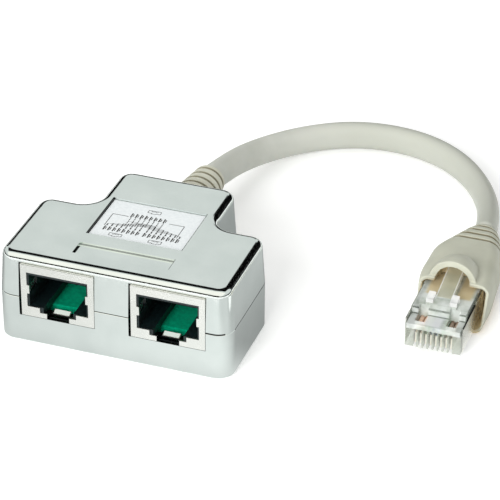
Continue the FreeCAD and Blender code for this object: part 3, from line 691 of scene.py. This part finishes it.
def make_cable():
    """The lead's sheath: a soft tube a little taller than wide, as a bent cable flattens."""
    points = cable_line()
    bm = bmesh.new()
    bmesh.ops.create_circle(
        bm, cap_ends=True, segments=40, radius=1.0, matrix=ring_place(points, 0)
    )
    edges = list(bm.edges)
    for i in range(1, len(points)):
        step = ring_place(points, i) @ ring_place(points, i - 1).inverted()
        grown = bmesh.ops.extrude_edge_only(bm, edges=edges)["geom"]
        verts = [g for g in grown if isinstance(g, bmesh.types.BMVert)]
        bmesh.ops.transform(bm, matrix=step, verts=verts)
        ring = set(verts)
        edges = [
            g for g in grown if isinstance(g, bmesh.types.BMEdge) and set(g.verts) <= ring
        ]
    bmesh.ops.edgeloop_fill(bm, edges=edges)
    bmesh.ops.recalc_face_normals(bm, faces=bm.faces)
    settle_order(bm)
    cable = made_piece("cable_sheath", bm, "sheath")
    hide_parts("cable")
    length = sum((b - a).length for a, b in zip(points, points[1:]))
    print("cable line", len(points), "points, length", round(length / MM, 2), "mm")


# Print on the label

INK_THICKNESS = 0.012 * MM
THIN_LINE = 0.12


def stroke(bm, start, end, width_mm):
    """A straight printed line between two plan points, in millimetres."""
    a = Vector((start[0], start[1], 0)) * MM
    b = Vector((end[0], end[1], 0)) * MM
    along = b - a
    middle = (a + b) / 2 + Vector((0, 0, LABEL_TOP * MM + INK_THICKNESS / 2))
    turn = Matrix.Rotation(math.atan2(along.y, along.x), 4, "Z")
    size = Matrix.Diagonal((along.length, width_mm * MM, INK_THICKNESS, 1.0))
    bmesh.ops.create_cube(bm, size=1.0, matrix=Matrix.Translation(middle) @ turn @ size)


def socket_symbol(bm, x, y):
    """A small outline of a keyed socket, 2.6 by 1.1 mm."""
    outline = [
        (-1.3, 0.55), (1.3, 0.55), (1.3, -0.35), (0.5, -0.35), (0.5, -0.55),
        (-0.5, -0.55), (-0.5, -0.35), (-1.3, -0.35), (-1.3, 0.55),
    ]
    for a, b in zip(outline, outline[1:]):
        stroke(bm, (x + a[0], y + a[1]), (x + b[0], y + b[1]), THIN_LINE)
    for i in range(5):
        pin_x = x - 0.6 + 0.3 * i
        stroke(bm, (pin_x, y + 0.1), (pin_x, y + 0.45), THIN_LINE)


def dashes(bm, x, low, high, width_mm):
    """An upright row of printed dashes between two heights of the plan."""
    dash, gap, shortest = 0.42, 0.2, 0.1
    y = low
    while y < high - shortest:
        stroke(bm, (x, y), (x, min(y + dash, high)), width_mm)
        y += dash + gap


def make_label_print():
    """A plain wiring diagram: three rows of eight pins, their joining lines and brackets."""
    bm = bmesh.new()
    pitch, bend_step = 0.97, 0.28
    back_row, front_row, foot = (2.1, 3.6), (-4.0, -2.5), (-2.3, -1.6)
    pin_width, shade_width, bracket_width = 0.28, 0.18, 0.14
    dash_width, lead_width, joint_width = 0.26, 0.2, 0.06
    for i in range(8):
        lead_x = -4.1 + pitch * i
        left_x = -7.5 + pitch * i
        right_x = 0.75 + pitch * i
        left_bend = -1.5 + bend_step * i
        right_bend = 0.5 - bend_step * i
        for x, (low, high) in ((lead_x, back_row), (left_x, front_row), (right_x, front_row)):
            stroke(bm, (x - 0.14, low), (x - 0.14, high), pin_width)
            stroke(bm, (x + 0.2, low + 0.3), (x + 0.2, high - 0.3), shade_width)
        for x, bend in ((left_x, left_bend), (right_x, right_bend)):
            stroke(bm, (x, foot[0]), (x, foot[1]), pin_width)
            dashes(bm, x, -1.45, bend, dash_width)
            stroke(bm, (x, bend), (lead_x, bend), joint_width)
        dashes(bm, lead_x, min(left_bend, right_bend), 2.0, lead_width)
    for edge_x, inner_x in ((-8.0, -4.7), (7.0, 3.8)):
        stroke(bm, (edge_x, -2.3), (edge_x, 2.2), bracket_width)
        stroke(bm, (edge_x, 2.2), (inner_x, 2.2), bracket_width)
    for x, y in ((-0.4, 5.2), (-4.6, -5.2), (3.6, -5.2)):
        socket_symbol(bm, x, y)
    made_piece("label_print", bm, "ink", smooth=False)


# Studio

# How far the side flags stand from the object, inside the tent.
ROOM = 3.0
FLOOR_RADIUS = 4.0
TENT_RADIUS = 4.6
SHEET_HEIGHT = 0.3 * MM
TABLE_CENTRE = Vector((0.02, 0.01, 0))


def glow(name, strength, hex_colour):
    """A plain light-giving surface for a reflector card."""
    material, _, shader = new_finish(name, Base_Color=(0, 0, 0, 1), Roughness=1.0)
    shader.inputs["Emission Color"].default_value = linear(hex_colour)
    shader.inputs["Emission Strength"].default_value = strength
    return material


def stage_card(name, bm, material):
    """A studio surface that only mirror surfaces see."""
    piece = new_object(name, bm, material)
    piece.visible_camera = False
    piece.visible_diffuse = False
    piece.visible_shadow = False
    piece.visible_transmission = False


def card(name, corners, material):
    """A flat studio card with straight edges."""
    bm = bmesh.new()
    bm.faces.new([bm.verts.new(c) for c in corners])
    stage_card(name, bm, material)


def upright_card(name, start, end, low, high, material):
    """A card that stands between two points of the floor's plan, from low to high."""
    card(name, [(*start, low), (*end, low), (*end, high), (*start, high)], material)


def level_card(name, x_span, y_span, height, material):
    """A level card over a span of X and of Y."""
    (x0, x1), (y0, y1) = x_span, y_span
    card(name, [(x0, y0, height), (x1, y0, height), (x1, y1, height), (x0, y1, height)], material)


def lay_floor():
    """Plain pale floor, wide enough that the chrome sees nothing but it below the horizon."""
    material, tree, shader = new_finish("studio_floor_paper", Roughness=0.9)
    shader.inputs["Emission Color"].default_value = linear("#ffffff")
    shader.inputs["Emission Strength"].default_value = 0.22
    tint(tree, shader, grain(tree, 40.0, 2.0), "#f7f7f7", "#f9f9f9")
    shader.inputs["Specular IOR Level"].default_value = 0.0
    just_below = Matrix.Translation((0, 0, -0.02 * MM))
    bm = bmesh.new()
    bmesh.ops.create_circle(
        bm, cap_ends=True, segments=96, radius=FLOOR_RADIUS, matrix=just_below
    )
    new_object("studio_floor", bm, material)


def light_tent():
    """Even light from all round, and two round soft boxes that mirror surfaces don't show."""
    world = bpy.data.worlds.new("studio_tent")
    world.use_nodes = True
    background = world.node_tree.nodes["Background"]
    background.inputs["Color"].default_value = linear("#f6f7f5")
    background.inputs["Strength"].default_value = 0.64
    bpy.context.scene.world = world
    for name, place, size, energy in (
        ("key_soft_box", (-0.2, -1.35, 0.65), 0.9, 23.0),
        ("top_soft_box", (-0.4, 0.4, 1.3), 1.2, 3.5),
    ):
        data = bpy.data.lights.new(name, "AREA")
        data.shape = "DISK"
        data.size = size
        data.energy = energy
        lamp = bpy.data.objects.new(name, data)
        bpy.context.scene.collection.objects.link(lamp)
        lamp.location = place
        lamp.rotation_mode = "QUATERNION"
        lamp.rotation_quaternion = (TABLE_CENTRE - Vector(place)).to_track_quat("-Z", "Y")
        lamp.visible_glossy = False


def hang_flags():
    """White cloth round the table, with the flags that draw dark lines in the chrome's edges."""
    black, _, shader = new_finish(
        "flag_cloth_black", Base_Color=(0.002, 0.002, 0.002, 1), Roughness=1.0
    )
    shader.inputs["Specular IOR Level"].default_value = 0.0
    brown = glow("flag_cloth_brown", 0.05, "#8a6a4a")
    bm = bmesh.new()
    bmesh.ops.create_uvsphere(bm, u_segments=48, v_segments=24, radius=TENT_RADIUS)
    stage_card("white_tent", bm, glow("tent_cloth_white", 0.87, "#f4f8f6"))
    low_flag = ROOM * math.tan(math.radians(12))
    tall_flag = ROOM * math.tan(math.radians(44))
    front_flag = 1.15
    front_end = 1.3
    # Those behind the table stand a little apart, so that none shares a plane with another.
    for name, start, end, low, high, material in (
        ("flag_back", (-ROOM, ROOM), (ROOM, ROOM), 0, low_flag, black),
        ("flag_back_right", (0.15, 2.99), (2.3, 2.99), 0, tall_flag, black),
        ("flag_back_middle", (-0.5, 2.98), (0.15, 2.98), 2.0, 2.65, black),
        ("flag_back_low", (-1.6, 2.975), (-0.45, 2.975), 0, 1.3, black),
        ("flag_back_left", (-ROOM, 2.985), (-1.5, 2.985), 0, 1.72, black),
        ("flag_right", (ROOM, ROOM), (ROOM, -ROOM), 0, low_flag, black),
        ("flag_left", (-ROOM, -ROOM), (-ROOM, ROOM), 0, low_flag, black),
        ("flag_front", (-ROOM, -ROOM), (front_end, -ROOM), 0, front_flag, brown),
        ("flag_front_right", (front_end, -ROOM), (ROOM, -ROOM), 0, low_flag, brown),
    ):
        upright_card(name, start, end, low, high, material)
    strip_foot, strip_top = (-2.9, 1.16), (-0.3, 2.4)
    strip_corners = [
        (-ROOM, *strip_foot), (ROOM, *strip_foot), (ROOM, *strip_top), (-ROOM, *strip_top),
    ]
    card("strip_box", strip_corners, glow("strip_box", 1.2, "#fffcf5"))
    overhead = 2.0
    near = overhead / math.tan(math.radians(84))
    away = overhead / math.tan(math.radians(40))
    level_card("flag_overhead", (-2.0, 1.4), (near, away), overhead, black)


def lay_sheets():
    """Toned sheets on the table, standing in for the floor's shade beside the housing and the
    plug, which show only in the chrome and in the plug's side.
    """
    sheet, tree, shader = new_finish("shaded_sheet", Base_Color=(0, 0, 0, 1), Roughness=1.0)
    # Bright before the housing, brightest near its right corner and dimmer beyond it, as painted
    # shade on that corner in the chrome
    brighter = ramp_over(tree, "X", -40.0, 25.0, 0.84, 1.06)
    dimmer = ramp_over(tree, "X", 26.0, 44.0, 1.0, 0.78)
    before = add_node(
        tree, "ShaderNodeMath", links={0: brighter, 1: dimmer}, operation="MULTIPLY"
    ).outputs["Value"]
    # Grey beside it, standing in for the housing's shadow on the floor, and a little lighter away
    # from it and towards the back
    away = ramp_over(tree, "X", 23.0, 36.0, 0.36, 0.6)
    back = ramp_over(tree, "Y", 10.0, 60.0, 1.0, 1.15)
    beside = add_node(
        tree, "ShaderNodeMath", links={0: away, 1: back}, operation="MULTIPLY"
    ).outputs["Value"]
    turn = ramp_over(tree, "Y", -25.0, -4.0)
    blend = add_node(
        tree, "ShaderNodeMix", links={"Factor": turn, "A": before, "B": beside}, data_type="FLOAT"
    )
    shader.inputs["Emission Color"].default_value = linear("#f8fbfa")
    tree.links.new(blend.outputs["Result"], shader.inputs["Emission Strength"])
    outline = [
        (-0.12, -0.054), (0.09, -0.054), (0.09, -0.012), (0.051, -0.012),
        (0.046, 0.014), (0.046, 0.12), (-0.12, 0.12),
    ]
    card("shaded_sheet", [(x, y, SHEET_HEIGHT) for x, y in outline], sheet)
    for name, strength, hex_colour, x_span, y_span in (
        # The grey sheet stands in for the floor's shade beside the plug
        ("grey_sheet", 0.64, "#f0f2ec", (0.0645, 0.12), (-0.01, 0.05)),
        ("dark_tape", 0.1, "#e8dccb", (-0.2, 0.2), (-0.06, -0.057)),
    ):
        level_card(name, x_span, y_span, SHEET_HEIGHT, glow(name, strength, hex_colour))


place_camera()
plug_pieces = [
    make_boot(),
    make_eased_piece("plug_body_eased", "plug_body", "clear", 0.14),
    make_eased_piece("plug_shield_eased", "plug_shield", "nickel", 0.08),
]
make_cable()
finish_cad_nodes()
for side in ("left", "right"):
    node = "socket_shield_" + side
    make_eased_piece("socket_shield_eased_" + side, node, "nickel", 0.1)
make_label_print()
lay_floor()
light_tent()
hang_flags()
lay_sheets()
bpy.context.scene.view_settings.view_transform = "Standard"
